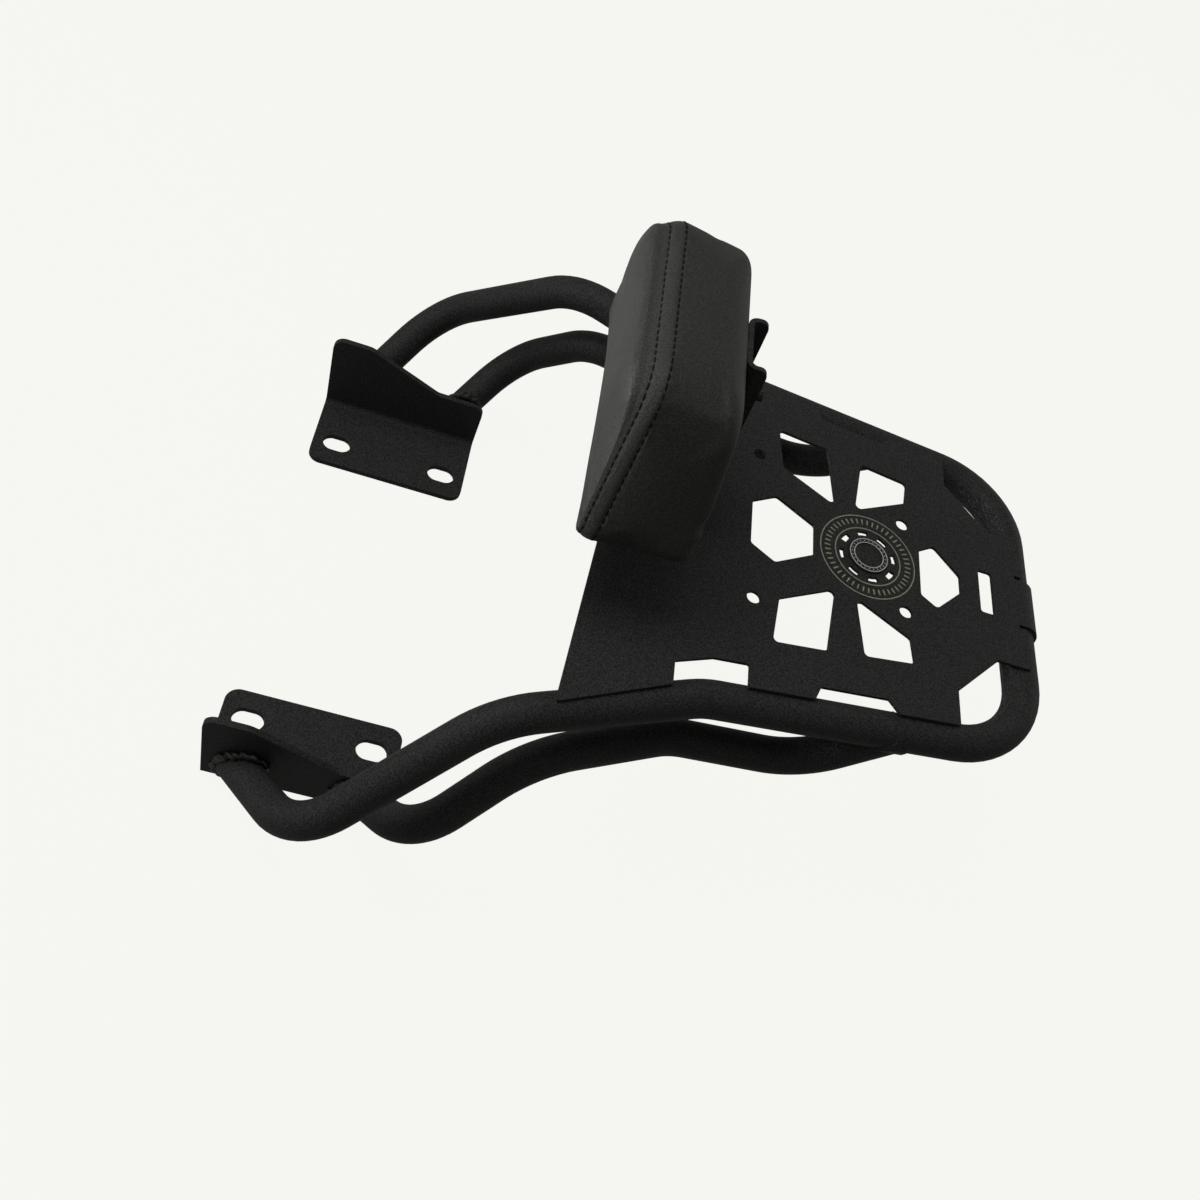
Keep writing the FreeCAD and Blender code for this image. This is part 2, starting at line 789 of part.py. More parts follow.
def main():
    """Build every node and write it."""
    os.makedirs("parts", exist_ok=True)
    left_tube = lower_tube()
    left_bracket = bracket()
    tabs = [
        (deck_front_corner_x, front_notch_front_x),
        (front_notch_rear_x, rear_notch_front_x),
        (rear_notch_rear_x, rear_corner_x),
    ]
    nodes = {
        "upper_loop_tube": upper_loop_tube(),
        "lower_tube_left": left_tube,
        "lower_tube_right": mirrored(left_tube),
        "rack_plate": rack_plate(),
        "bracket_left": left_bracket,
        "bracket_right": mirrored(left_bracket),
        "backrest_channel": backrest_channel(),
        "pad_board": pad_board(),
        "pad_foam": pad_foam(),
        "pad_studs": pad_studs(),
        "pad_washers": pad_washers(),
        "pad_nuts": pad_nuts(),
        "centre_badge": centre_badge(),
        "upper_tube_welds": both_sides([upper_tube_weld()]),
        "lower_tube_front_welds": both_sides([lower_tube_front_weld()]),
        "lower_tube_rear_welds": both_sides([lower_tube_rear_weld()]),
        "deck_welds": both_sides([deck_weld(front, rear) for front, rear in tabs]),
        "channel_weld": channel_weld(),
    }
    nodes.update(pad_panels())
    for name, shape in nodes.items():
        write(name, shape)
        print(name, "solids", len(shape.Solids), "volume", round(shape.Volume, 1), "valid", shape.isValid())


main()
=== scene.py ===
import logging
import math
from dataclasses import dataclass, field
from enum import Enum
from typing import Callable, Sequence

import bmesh
import bpy
from bpy.types import Material, Node, NodeSocket, NodeTree, Object, World
from mathutils import Matrix, Vector, noise


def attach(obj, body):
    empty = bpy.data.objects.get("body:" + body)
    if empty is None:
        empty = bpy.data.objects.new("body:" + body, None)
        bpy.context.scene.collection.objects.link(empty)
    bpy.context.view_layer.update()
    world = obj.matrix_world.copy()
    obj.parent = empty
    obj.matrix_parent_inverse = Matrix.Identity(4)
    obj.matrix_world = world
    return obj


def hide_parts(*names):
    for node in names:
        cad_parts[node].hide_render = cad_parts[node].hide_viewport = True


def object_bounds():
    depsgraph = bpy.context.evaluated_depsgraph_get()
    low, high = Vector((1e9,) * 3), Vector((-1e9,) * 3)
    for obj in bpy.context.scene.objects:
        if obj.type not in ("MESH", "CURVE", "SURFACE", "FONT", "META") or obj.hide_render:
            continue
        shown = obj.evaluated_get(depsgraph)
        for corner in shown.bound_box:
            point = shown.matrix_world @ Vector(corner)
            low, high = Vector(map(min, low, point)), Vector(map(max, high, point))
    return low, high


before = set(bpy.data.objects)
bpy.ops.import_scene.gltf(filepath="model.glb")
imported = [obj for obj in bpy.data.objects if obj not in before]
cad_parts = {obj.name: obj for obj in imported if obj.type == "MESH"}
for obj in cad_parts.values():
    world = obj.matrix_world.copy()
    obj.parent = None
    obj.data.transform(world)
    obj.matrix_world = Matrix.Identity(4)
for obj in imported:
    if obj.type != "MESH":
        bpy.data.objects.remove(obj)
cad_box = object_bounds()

log = logging.getLogger("luggage_rack")

MM = 0.001
BODY = "root"
Point = tuple[float, float, float]
Faces = list[tuple[int, ...]]
Shape = tuple[list[Vector], Faces]


def linear(code: str) -> tuple[float, ...]:
    """Turn an sRGB hex colour to linear light.

    Args:
        code: Colour as six hex digits after a hash.

    Returns:
        Red, green and blue in linear light, with an alpha of one.
    """
    parts = [int(code[index:index + 2], 16) / 255 for index in (1, 3, 5)]
    lit = [part / 12.92 if part <= 0.04045 else ((part + 0.055) / 1.055) ** 2.4 for part in parts]
    return lit[0], lit[1], lit[2], 1.0


def per_metre(size_mm: float) -> float:
    """Texture scale at which one feature is that many millimetres wide."""
    return 1.0 / (size_mm * MM)


def add_node(tree: NodeTree, kind: str, feeds: dict | None = None, **settings: object) -> Node:
    """Add a shader node with its settings and links.

    Args:
        tree: Node tree of the material or world.
        kind: Blender's name for the node type.
        feeds: Input name or number to a value, or to the socket that is linked to it.
        settings: Properties of the node.

    Returns:
        The new node.
    """
    node = tree.nodes.new(kind)
    for name, value in settings.items():
        setattr(node, name, value)
    for key, value in (feeds or {}).items():
        if isinstance(value, NodeSocket):
            tree.links.new(value, node.inputs[key])
        else:
            node.inputs[key].default_value = value
    return node


def empty_tree(owner: Material | World) -> NodeTree:
    """Give a material or a world an empty node tree.

    Args:
        owner: The material or the world.

    Returns:
        Its node tree.
    """
    owner.use_nodes = True
    owner.node_tree.nodes.clear()
    return owner.node_tree


class Slot(Enum):
    """Material slots of the record."""

    COAT = "powder_coat"
    VINYL = "vinyl"
    BADGE = "badge"


def new_piece(name: str, verts: Sequence[Vector], faces: Faces, material: Material, slot: Slot) -> Object:
    """Make a mesh piece that rides on the rack.

    Args:
        name: Name of the piece.
        verts: Vertex positions in metres, in the row frame.
        faces: Vertex numbers of each face.
        material: Finish of the piece.
        slot: Material slot of the record; not used.

    Returns:
        The new object.
    """
    mesh = bpy.data.meshes.new(name)
    mesh.from_pydata([tuple(vert) for vert in verts], [], faces)
    mesh.update()
    mesh.polygons.foreach_set("use_smooth", [True] * len(mesh.polygons))
    mesh.materials.append(material)
    piece = bpy.data.objects.new(name, mesh)
    bpy.context.scene.collection.objects.link(piece)
    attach(piece, BODY)
    log.info("made %s", name)
    return piece


def grid_faces(rows: int, size: int, closed: bool, base: int = 0, flip: bool = False) -> Faces:
    """Faces of a grid of points in which every row closes on itself.

    Args:
        rows: Number of rows.
        size: Number of points in a row.
        closed: Whether the last row joins the first.
        base: Number of the first point.
        flip: Whether the faces look the other way.

    Returns:
        Vertex numbers of each face.
    """
    faces = []
    for row in range(rows if closed else rows - 1):
        low = base + row * size
        high = base + (row + 1) % rows * size
        for index in range(size):
            onward = (index + 1) % size
            corners = (low + index, high + index, high + onward, low + onward)
            faces.append((corners[0], *corners[:0:-1]) if flip else corners)
    return faces


@dataclass(frozen=True)
class Finish:
    """Two tones under one shader, in a material of their own."""

    name: str
    dark: str
    pale: str
    roughness: float
    specular: float

    def open(self) -> tuple[Material, NodeTree, NodeSocket]:
        """Make the material, which so far holds only the piece's own coordinates.

        Returns:
            The material, its node tree and the socket of the coordinates.
        """
        material = bpy.data.materials.new(self.name)
        tree = empty_tree(material)
        return material, tree, add_node(tree, "ShaderNodeTexCoord").outputs["Object"]

    def close(self, tree: NodeTree, factor: NodeSocket, feeds: dict) -> None:
        """Mix the two tones and send them through the shader to the material's output.

        Args:
            tree: Node tree of the material.
            factor: Share of the pale tone.
            feeds: Further inputs of the shader, which also take the place of the finish's own values.
        """
        shade = add_node(
            tree, "ShaderNodeMix",
            {"Factor": factor, "A": linear(self.dark), "B": linear(self.pale)}, data_type="RGBA")
        shader = add_node(
            tree, "ShaderNodeBsdfPrincipled",
            {"Base Color": shade.outputs["Result"], "Roughness": self.roughness,
             "Specular IOR Level": self.specular, **feeds})
        add_node(tree, "ShaderNodeOutputMaterial", {"Surface": shader.outputs[0]})


@dataclass(frozen=True)
class PowderCoat(Finish):
    """Fine-textured black powder coat on blasted steel: matt, with a sandy grain that catches the light."""

    name: str = "powder_coat_black"
    dark: str = "#161716"
    pale: str = "#3E403E"
    roughness: float = 0.62
    specular: float = 0.15
    # The real grit is about 0.3 mm; it is drawn coarser so that it shows in the render
    grit_mm: float = 0.85
    patch_mm: float = 38.0
    grain_depth_mm: float = 0.2
    edge_mm: float = 0.55
    speck_from: float = 0.38
    speck_to: float = 0.66
    rough_swing: float = 0.06

    def build(self) -> Material:
        """Make the coat's material.

        Returns:
            The material.
        """
        material, tree, place = self.open()
        grit = add_node(
            tree, "ShaderNodeTexNoise", {"Vector": place, "Scale": per_metre(self.grit_mm), "Detail": 3.0})
        patch = add_node(
            tree, "ShaderNodeTexNoise", {"Vector": place, "Scale": per_metre(self.patch_mm), "Detail": 2.0})
        speck = add_node(
            tree, "ShaderNodeMapRange",
            {"Value": grit.outputs["Fac"], "From Min": self.speck_from, "From Max": self.speck_to})
        rough = add_node(
            tree, "ShaderNodeMapRange",
            {"Value": patch.outputs["Fac"], "To Min": self.roughness - self.rough_swing,
             "To Max": self.roughness + self.rough_swing})
        soft_edge = add_node(tree, "ShaderNodeBevel", {"Radius": self.edge_mm * MM})
        bump = add_node(
            tree, "ShaderNodeBump",
            {"Height": grit.outputs["Fac"], "Normal": soft_edge.outputs[0], "Strength": 0.8,
             "Distance": self.grain_depth_mm * MM})
        self.close(tree, speck.outputs[0], {"Roughness": rough.outputs[0], "Normal": bump.outputs[0]})
        return material


@dataclass(frozen=True)
class UpholsteryVinyl(Finish):
    """Embossed upholstery vinyl: soft matt black, with a fine skin grain and a dull gloss where it turns."""

    name: str = "upholstery_vinyl_black"
    dark: str = "#1A1B19"
    pale: str = "#3B3C39"
    roughness: float = 0.54
    specular: float = 0.19
    grain_mm: float = 1.1
    patch_mm: float = 30.0
    grain_depth_mm: float = 0.16
    tone_from: float = 0.45
    tone_to: float = 1.25
    smoother: float = 0.05
    rougher: float = 0.07

    def build(self) -> Material:
        """Make the vinyl's material.

        Returns:
            The material.
        """
        material, tree, place = self.open()
        cells = add_node(
            tree, "ShaderNodeTexVoronoi", {"Vector": place, "Scale": per_metre(self.grain_mm)})
        fine = add_node(
            tree, "ShaderNodeTexNoise",
            {"Vector": place, "Scale": per_metre(self.grain_mm / 2), "Detail": 2.0})
        patch = add_node(
            tree, "ShaderNodeTexNoise", {"Vector": place, "Scale": per_metre(self.patch_mm), "Detail": 3.0})
        skin = add_node(
            tree, "ShaderNodeMath", {0: cells.outputs["Distance"], 1: fine.outputs["Fac"]}, operation="ADD")
        tone = add_node(
            tree, "ShaderNodeMapRange",
            {"Value": skin.outputs[0], "From Min": self.tone_from, "From Max": self.tone_to})
        rough = add_node(
            tree, "ShaderNodeMapRange",
            {"Value": patch.outputs["Fac"], "To Min": self.roughness - self.smoother,
             "To Max": self.roughness + self.rougher})
        bump = add_node(
            tree, "ShaderNodeBump",
            {"Height": skin.outputs[0], "Strength": 0.7, "Distance": self.grain_depth_mm * MM})
        self.close(tree, tone.outputs[0], {"Roughness": rough.outputs[0], "Normal": bump.outputs[0]})
        return material


@dataclass(frozen=True)
class PolyesterThread(Finish):
    """Twisted polyester sewing thread: dull black, with the twist as fine slanting ridges."""

    name: str = "polyester_thread_black"
    dark: str = "#050505"
    pale: str = "#121212"
    roughness: float = 0.75
    specular: float = 0.12
    twist_mm: float = 0.5
    twist_depth_mm: float = 0.1

    def build(self) -> Material:
        """Make the thread's material.

        Returns:
            The material.
        """
        material, tree, place = self.open()
        twist = add_node(
            tree, "ShaderNodeTexWave",
            {"Vector": place, "Scale": per_metre(self.twist_mm) / math.tau, "Distortion": 1.0},
            bands_direction="DIAGONAL")
        bump = add_node(
            tree, "ShaderNodeBump",
            {"Height": twist.outputs["Fac"], "Strength": 0.5, "Distance": self.twist_depth_mm * MM})
        self.close(tree, twist.outputs["Fac"], {"Normal": bump.outputs[0]})
        return material


@dataclass(frozen=True)
class BlackZinc(Finish):
    """Black zinc plate on machined steel: a dark metal with a dull sheen and fine turning marks."""

    name: str = "black_zinc_steel"
    dark: str = "#1E1E1C"
    pale: str = "#33332F"
    roughness: float = 0.42
    specular: float = 0.5
    mark_mm: float = 0.8
    smoother: float = 0.1
    rougher: float = 0.12

    def build(self) -> Material:
        """Make the plated steel's material.

        Returns:
            The material.
        """
        material, tree, place = self.open()
        marks = add_node(
            tree, "ShaderNodeTexNoise", {"Vector": place, "Scale": per_metre(self.mark_mm), "Detail": 4.0})
        rough = add_node(
            tree, "ShaderNodeMapRange",
            {"Value": marks.outputs["Fac"], "To Min": self.roughness - self.smoother,
             "To Max": self.roughness + self.rougher})
        self.close(tree, marks.outputs["Fac"], {"Metallic": 1.0, "Roughness": rough.outputs[0]})
        return material


@dataclass(frozen=True)
class StainedPlywood(Finish):
    """Black-stained plywood: a dull brown-black with long grain streaks."""

    name: str = "stained_plywood"
    dark: str = "#141210"
    pale: str = "#2A2520"
    roughness: float = 0.8
    specular: float = 0.5
    grain_mm: float = 3.0
    grain_depth_mm: float = 0.2
    stretch: float = 0.08

    def build(self) -> Material:
        """Make the board's material.

        Returns:
            The material.
        """
        material, tree, place = self.open()
        along = add_node(tree, "ShaderNodeMapping", {"Vector": place, "Scale": (1.0, self.stretch, 1.0)})
        grain = add_node(
            tree, "ShaderNodeTexNoise",
            {"Vector": along.outputs[0], "Scale": per_metre(self.grain_mm), "Detail": 5.0, "Roughness": 0.65})
        bump = add_node(
            tree, "ShaderNodeBump",
            {"Height": grain.outputs["Fac"], "Strength": 0.4, "Distance": self.grain_depth_mm * MM})
        self.close(tree, grain.outputs["Fac"], {"Normal": bump.outputs[0]})
        return material


@dataclass(frozen=True)
class WeldMetal(Finish):
    """Hand-laid weld bead under a thin coat: black with brown heat tint where the coat is thin."""

    name: str = "coated_weld_bead"
    dark: str = "#0E0E0D"
    pale: str = "#3A3128"
    roughness: float = 0.5
    specular: float = 0.35
    patch_mm: float = 5.0
    grit_mm: float = 0.8
    grit_depth_mm: float = 0.3
    bare_from: float = 0.5
    bare_to: float = 0.72

    def build(self) -> Material:
        """Make the bead's material.

        Returns:
            The material.
        """
        material, tree, place = self.open()
        patch = add_node(
            tree, "ShaderNodeTexNoise", {"Vector": place, "Scale": per_metre(self.patch_mm), "Detail": 4.0})
        grit = add_node(
            tree, "ShaderNodeTexNoise", {"Vector": place, "Scale": per_metre(self.grit_mm), "Detail": 2.0})
        bare = add_node(
            tree, "ShaderNodeMapRange",
            {"Value": patch.outputs["Fac"], "From Min": self.bare_from, "From Max": self.bare_to})
        bump = add_node(
            tree, "ShaderNodeBump",
            {"Height": grit.outputs["Fac"], "Strength": 0.5, "Distance": self.grit_depth_mm * MM})
        self.close(tree, bare.outputs[0], {"Normal": bump.outputs[0]})
        return material


@dataclass(frozen=True)
class FineLine(Finish):
    """Line on the deck or the badge, in two tones that a fine noise breaks up."""

    patch_mm: float
    detail: float

    def build(self) -> Material:
        """Make the line's material.

        Returns:
            The material.
        """
        material, tree, place = self.open()
        patch = add_node(
            tree, "ShaderNodeTexNoise",
            {"Vector": place, "Scale": per_metre(self.patch_mm), "Detail": self.detail})
        self.close(tree, patch.outputs["Fac"], {})
        return material


# Laser-engraved line in the coat: bare metal dulled to an olive grey, with a broken tone
ENGRAVED_STEEL = FineLine(
    "engraved_steel", dark="#7A7765", pale="#C2BEA8", roughness=0.65, specular=0.3, patch_mm=3.0, detail=3.0)
# Screen-printed enamel on the badge: an even, dull grey with slight wear
PRINTED_ENAMEL = FineLine(
    "screen_printed_enamel", dark="#B4B6B0", pale="#DCDED8", roughness=0.55, specular=0.5, patch_mm=2.0,
    detail=2.0)


@dataclass
class BackrestPad:
    """Foam pad in a sewn cover: boxing, edge strip and crowned front. Lengths are in millimetres."""

    setback: float = 256.0
    deck_height: float = 177.0
    channel_foot_x: float = 89.2
    lean_deg: float = 3.5
    top_height: float = 146.0
    bottom_height: float = 47.0
    top_half_width: float = 70.0
    bottom_half_width: float = 97.0
    bottom_arch: float = 10.0
    top_round: float = 27.0
    bottom_round: float = 10.0
    top_depth: float = 53.5
    wedge: float = 0.104
    strip_width: float = 9.4
    strip_spread: float = 1.6
    strip_inset: float = 3.6
    strip_bulge: float = 0.6
    crown: float = 16.5
    crown_foot_share: float = 0.08
    crown_rise: float = 1.45
    roll: float = 22.0
    roll_share: float = 0.85
    rear_fall: float = 9.0
    hem_inset: float = 10.0
    back_round: float = 8.0
    back_round_top: float = 13.0
    swell_cap: float = 2.2
    ease_rounds: int = 16
    sag: float = 0.7
    sag_length: float = 38.0
    pucker_pitch: float = 14.0
    pucker_depth: float = 4.6
    pucker_top: float = 84.0
    pucker_place: float = 0.08
    pucker_width: float = 0.16
    pucker_onset: float = 2.0
    groove_depth: float = 0.55
    seam_row_top: float = 2.5
    seam_row_foot: float = 1.4
    stitch_pitch: float = 5.0
    stitch_length: float = 4.1
    stitch_width: float = 1.25
    pressure: float = 4.0
    frames: int = 20
    flat_rings: int = 4
    strip_shares: tuple[float, ...] = (0.12, 0.35, 0.6, 0.86, 1.0)
    panel_shares: tuple[float, ...] = (
        0.012, 0.03, 0.06, 0.1, 0.15, 0.21, 0.28, 0.36, 0.45, 0.55, 0.65, 0.75, 0.85)
    counts: tuple[int, ...] = (14, 14, 24, 8, 28)
    rings: list[list[Vector]] = field(default_factory=list)
    seams: list[int] = field(default_factory=list)
    crease: int = 0
    piece: Object = field(init=False)

    @property
    def around(self) -> int:
        """Number of points in a ring."""
        return len(self.rings[0])

    def seat(self, point: Vector) -> Vector:
        """Place a point of the pad: x from the channel's front, y across, z up the channel.

        Args:
            point: Point in millimetres, before the channel leans.

        Returns:
            The point in metres, in the row frame.
        """
        lean = math.radians(self.lean_deg)
        x = point.x * math.cos(lean) + point.z * math.sin(lean) + self.channel_foot_x - self.setback
        z = point.z * math.cos(lean) - point.x * math.sin(lean) + self.deck_height
        return Vector((x, point.y, z)) * MM

    def front_x(self, height: float) -> float:
        """Depth of the front seam at a height."""
        return self.top_depth + self.wedge * (self.top_height - height)

    def seam_x(self, height: float) -> float:
        """Depth of the seam between boxing and edge strip; the strip is wider towards the top."""
        return self.front_x(height) - self.strip_width - self.strip_spread * self.rise(height) ** 2

    def rise(self, height: float) -> float:
        """How far up the pad a height is, from zero at the foot to one at the top."""
        share = (height - self.bottom_height) / (self.top_height - self.bottom_height)
        return min(max(share, 0.0), 1.0)

    def swell_share(self, height: float) -> float:
        """Share of the crown at a height: the foam stands fuller towards the top."""
        return self.crown_foot_share + (1 - self.crown_foot_share) * self.rise(height) ** self.crown_rise

    def half_outline(self, inset: float, fall: float) -> list[tuple[float, float]]:
        """Left half of the pad's outline, from the top's middle to the foot's middle.

        Args:
            inset: How far the outline is shrunk.
            fall: How far the top is lowered.

        Returns:
            Points (y, z), with the same count in each stretch whatever the inset.
        """
        least_round = 3.0
        top_steps, upper_steps, side_steps, lower_steps, foot_steps = self.counts
        top = self.top_height - inset - fall
        foot = self.bottom_height + inset
        crest = foot + self.bottom_arch
        corner_top = Vector((self.top_half_width - inset, top))
        corner_foot = Vector((self.bottom_half_width - inset, foot))
        middle_top = Vector((0.0, top))
        middle_foot = Vector((0.0, foot))
        upper = self.corner(
            middle_top, corner_top, corner_foot, max(self.top_round - inset, least_round), upper_steps)
        lower = self.corner(
            corner_top, corner_foot, middle_foot, max(self.bottom_round - inset, least_round), lower_steps)
        points = [middle_top.lerp(upper[0], step / top_steps) for step in range(top_steps)]
        points += upper
        points += [upper[-1].lerp(lower[0], step / side_steps) for step in range(1, side_steps)]
        points += lower
        for step in range(1, foot_steps + 1):
            y = lower[-1].x * (1 - step / foot_steps)
            arch = 1 - (y / lower[-1].x) ** 2
            points.append(Vector((y, lower[-1].y + (crest - lower[-1].y) * arch)))
        return [(point.x, point.y) for point in points]

    @staticmethod
    def corner(before: Vector, corner: Vector, after: Vector, radius: float, count: int) -> list[Vector]:
        """Tangent arc in a corner.

        Args:
            before: Point before the corner.
            corner: The corner itself.
            after: Point after the corner.
            radius: Radius of the arc.
            count: Number of steps along it.

        Returns:
            Points of the arc, both ends included.
        """
        back = (before - corner).normalized()
        onward = (after - corner).normalized()
        half = back.angle(onward) / 2
        centre = corner + (back + onward).normalized() * (radius / math.sin(half))
        start = corner + back * (radius / math.tan(half)) - centre
        end = corner + onward * (radius / math.tan(half)) - centre
        turn = start.angle_signed(end)
        return [centre + Matrix.Rotation(-turn * step / count, 2) @ start for step in range(count + 1)]

    def outline(self, place: Callable[[float], float], inset: float, fall: float = 0.0) -> list[Vector]:
        """Closed ring of points round the pad.

        Args:
            place: Gives the depth at a height.
            inset: How far the outline is shrunk.
            fall: How far the top is lowered.

        Returns:
            Points in millimetres, in the pad's own frame.
        """
        left = self.half_outline(inset, fall)
        right = [(-y, z) for y, z in reversed(left[1:-1])]
        return [Vector((place(z), y, z)) for y, z in left + right]

    def lay_back(self) -> None:
        """Lay the rings of the hem on the back and of the rolled rear edge, which is rounder at the top."""
        roll_steps = 7
        regained = 0.2
        top_only = 8
        self.rings.append(self.outline(self.back_x, self.hem_inset, self.rear_fall))
        for step in range(roll_steps + 1):
            angle = math.pi / 2 * step / roll_steps
            drawn_in = 1 - math.sin(angle)
            fall = self.rear_fall * (1 - regained * math.sin(angle))
            ring = []
            for point in self.outline(self.back_x, self.back_round * drawn_in, fall):
                rounder = (self.back_round_top - self.back_round) * self.rise(point.z + fall) ** top_only
                depth = (self.back_round + rounder) * (1 - math.cos(angle))
                ring.append(Vector((depth, point.y, point.z - rounder * drawn_in)))
            self.rings.append(ring)

    @staticmethod
    def back_x(_height: float) -> float:
        """Depth of the pad's back, the same at every height."""
        return 0.0

    def lay_boxing(self) -> None:
        """Lay the rings of the boxing, from the rolled rear edge to the edge strip's seam."""
        rear = self.rings[-1]
        seam = self.outline(self.seam_x, 0.0)
        steps = 14
        even_end = 0.94
        near_seam = 0.975
        shares = [step / steps * even_end for step in range(1, steps + 1)] + [near_seam, 1.0]
        self.rings += [[start.lerp(end, share) for start, end in zip(rear, seam)] for share in shares]
        self.seams.append(len(self.rings) - 1)

    def lay_strip(self) -> None:
        """Lay the rings of the edge strip; its stitched row runs closer to the crease towards the foot."""
        seam = self.rings[-1]
        edge = self.outline(self.front_x, self.strip_inset)
        middle = (self.top_height + self.bottom_height) / 2
        for share in self.strip_shares:
            ring = []
            for start, end in zip(seam, edge):
                row = self.seam_row_foot + (self.seam_row_top - self.seam_row_foot) * self.rise(end.z)
                spot = start.lerp(end, share * (1 - row / self.strip_width))
                outward = Vector((0, spot.y, spot.z - middle)).normalized()
                ring.append(spot + outward * (self.strip_bulge * math.sin(math.pi * share)))
            self.rings.append(ring)
        self.seams.append(len(self.rings) - 1)
        self.rings.append([start.lerp(end, 0.5) for start, end in zip(self.rings[-1], edge)])
        self.rings.append(edge)
        self.crease = len(self.rings) - 1

    def lay_front(self) -> None:
        """Lay the rings of the front panel, which rolls out of the crease and crowns to the middle."""
        edge = self.rings[self.crease]
        middle = (self.top_height + self.bottom_height + self.bottom_arch) / 2
        narrowing = 0.55
        top_only = 3
        for share in self.panel_shares:
            ring = []
            for point in edge:
                y = point.y * (1 - share * (1 - narrowing))
                z = point.z + (middle - point.z) * share
                travel = min(math.hypot(y - point.y, z - point.z) / self.roll, 1.0)
                steep = math.sqrt(1 - (1 - travel) ** 2)
                gentle = math.sin(math.pi / 2 * travel)
                rolled = gentle + (steep - gentle) * self.rise(point.z) ** top_only
                domed = 1 - (1 - share) ** 2
                bulge = self.crown * self.swell_share(z) * (
                    self.roll_share * rolled + (1 - self.roll_share) * domed)
                ring.append(Vector((self.front_x(z) + bulge, y, z)))
            self.rings.append(ring)

    def cover(self, material: Material) -> None:
        """Make the cover's mesh from its rings, closed in the middle of the front panel.

        Args:
            material: The vinyl.
        """
        self.lay_back()
        self.lay_boxing()
        self.lay_strip()
        self.lay_front()
        verts = [self.seat(point) for ring in self.rings for point in ring]
        faces = grid_faces(len(self.rings), self.around, closed=False)
        self.piece = new_piece("pad_cover", verts, faces, material, Slot.VINYL)
        net = bmesh.new()
        net.from_mesh(self.piece.data)
        net.verts.ensure_lookup_table()
        last = (len(self.rings) - 1) * self.around
        rim_verts = [net.verts[last + index] for index in range(self.around)]
        rim = [net.edges.get((rim_verts[index - 1], rim_verts[index])) for index in range(self.around)]
        bmesh.ops.triangle_fill(net, use_beauty=True, edges=rim)
        bmesh.ops.recalc_face_normals(net, faces=net.faces)
        for face in net.faces:
            face.smooth = True
        net.to_mesh(self.piece.data)
        net.free()

    def swell(self) -> None:
        """Let the cover swell between its seams, by a cloth simulation with pressure inside."""
        group = self.piece.vertex_groups.new(name="held")
        held = [0, 1, *self.seams, *range(self.crease - 1, self.crease + self.flat_rings)]
        points = [level * self.around + index for level in held for index in range(self.around)]
        group.add(points, 1.0, "REPLACE")
        start = [vert.co.copy() for vert in self.piece.data.vertices]
        cloth = self.piece.modifiers.new("Swell", "CLOTH")
        cloth.settings.quality = 6
        cloth.settings.mass = 0.2
        cloth.settings.tension_stiffness = 12.0
        cloth.settings.compression_stiffness = 12.0
        cloth.settings.shear_stiffness = 6.0
        cloth.settings.bending_stiffness = 0.5
        cloth.settings.use_pressure = True
        cloth.settings.uniform_pressure_force = self.pressure
        cloth.settings.effector_weights.gravity = 0.0
        cloth.settings.vertex_group_mass = group.name
        cloth.collision_settings.use_collision = False
        cloth.point_cache.frame_start = 1
        cloth.point_cache.frame_end = self.frames
        scene = bpy.context.scene
        for step in range(1, self.frames + 1):
            scene.frame_set(step)
        swollen = self.piece.evaluated_get(bpy.context.evaluated_depsgraph_get())
        moved = [vert.co.copy() for vert in swollen.data.vertices]
        self.piece.modifiers.remove(cloth)
        self.piece.vertex_groups.remove(group)
        scene.frame_set(1)
        cap = self.swell_cap * MM
        reach = max((new - old).length for old, new in zip(start, moved))
        log.info("cover swelled by up to %.2f mm, capped at %.2f mm", reach / MM, self.swell_cap)
        for vert, old, new in zip(self.piece.data.vertices, start, moved):
            step = new - old
            vert.co = old + step * min(1.0, cap / max(step.length, cap))
        self.piece.data.update()

    def crumple(self) -> None:
        """Let the boxing sag a little and pucker where it is pulled over the rear edge near the foot."""
        normals = [vert.normal.copy() for vert in self.piece.data.vertices]
        run = 0.0
        for index in range(self.around):
            here = self.rings[1][index]
            run += (here - self.rings[1][index - 1]).length
            height = (here.z - self.bottom_height) / (self.pucker_top - self.bottom_height)
            low = 1 - min(max(height, 0.0), 1.0)
            wave = 0.5 - 0.5 * math.cos(math.tau * run / self.pucker_pitch)
            depth = self.pucker_depth * min(low * self.pucker_onset, 1.0) * wave
            for level in range(1, self.seams[0] - 1):
                vert = self.piece.data.vertices[level * self.around + index]
                back = level / self.seams[0]
                loose = noise.noise(vert.co / (self.sag_length * MM)) * self.sag * math.sin(math.pi * back)
                pinch = depth * math.exp(-((back - self.pucker_place) / self.pucker_width) ** 2)
                vert.co += normals[level * self.around + index] * ((loose - pinch) * MM)
        self.piece.data.update()

    def ease(self) -> None:
        """Even out the front panel inside its crease, as foam does under vinyl."""
        net = bmesh.new()
        net.from_mesh(self.piece.data)
        net.verts.ensure_lookup_table()
        first = (self.crease + self.flat_rings) * self.around
        panel = net.verts[first:]
        for _ in range(self.ease_rounds):
            bmesh.ops.smooth_vert(
                net, verts=panel, factor=0.5, use_axis_x=True, use_axis_y=True, use_axis_z=True)
        net.to_mesh(self.piece.data)
        net.free()

    def groove(self) -> None:
        """Sink the stitched rows and the crease into the cover."""
        normals = [vert.normal.copy() for vert in self.piece.data.vertices]
        for row in (*self.seams, self.crease):
            for index in range(row * self.around, (row + 1) * self.around):
                self.piece.data.vertices[index].co -= normals[index] * (self.groove_depth * MM)
        self.piece.data.update()

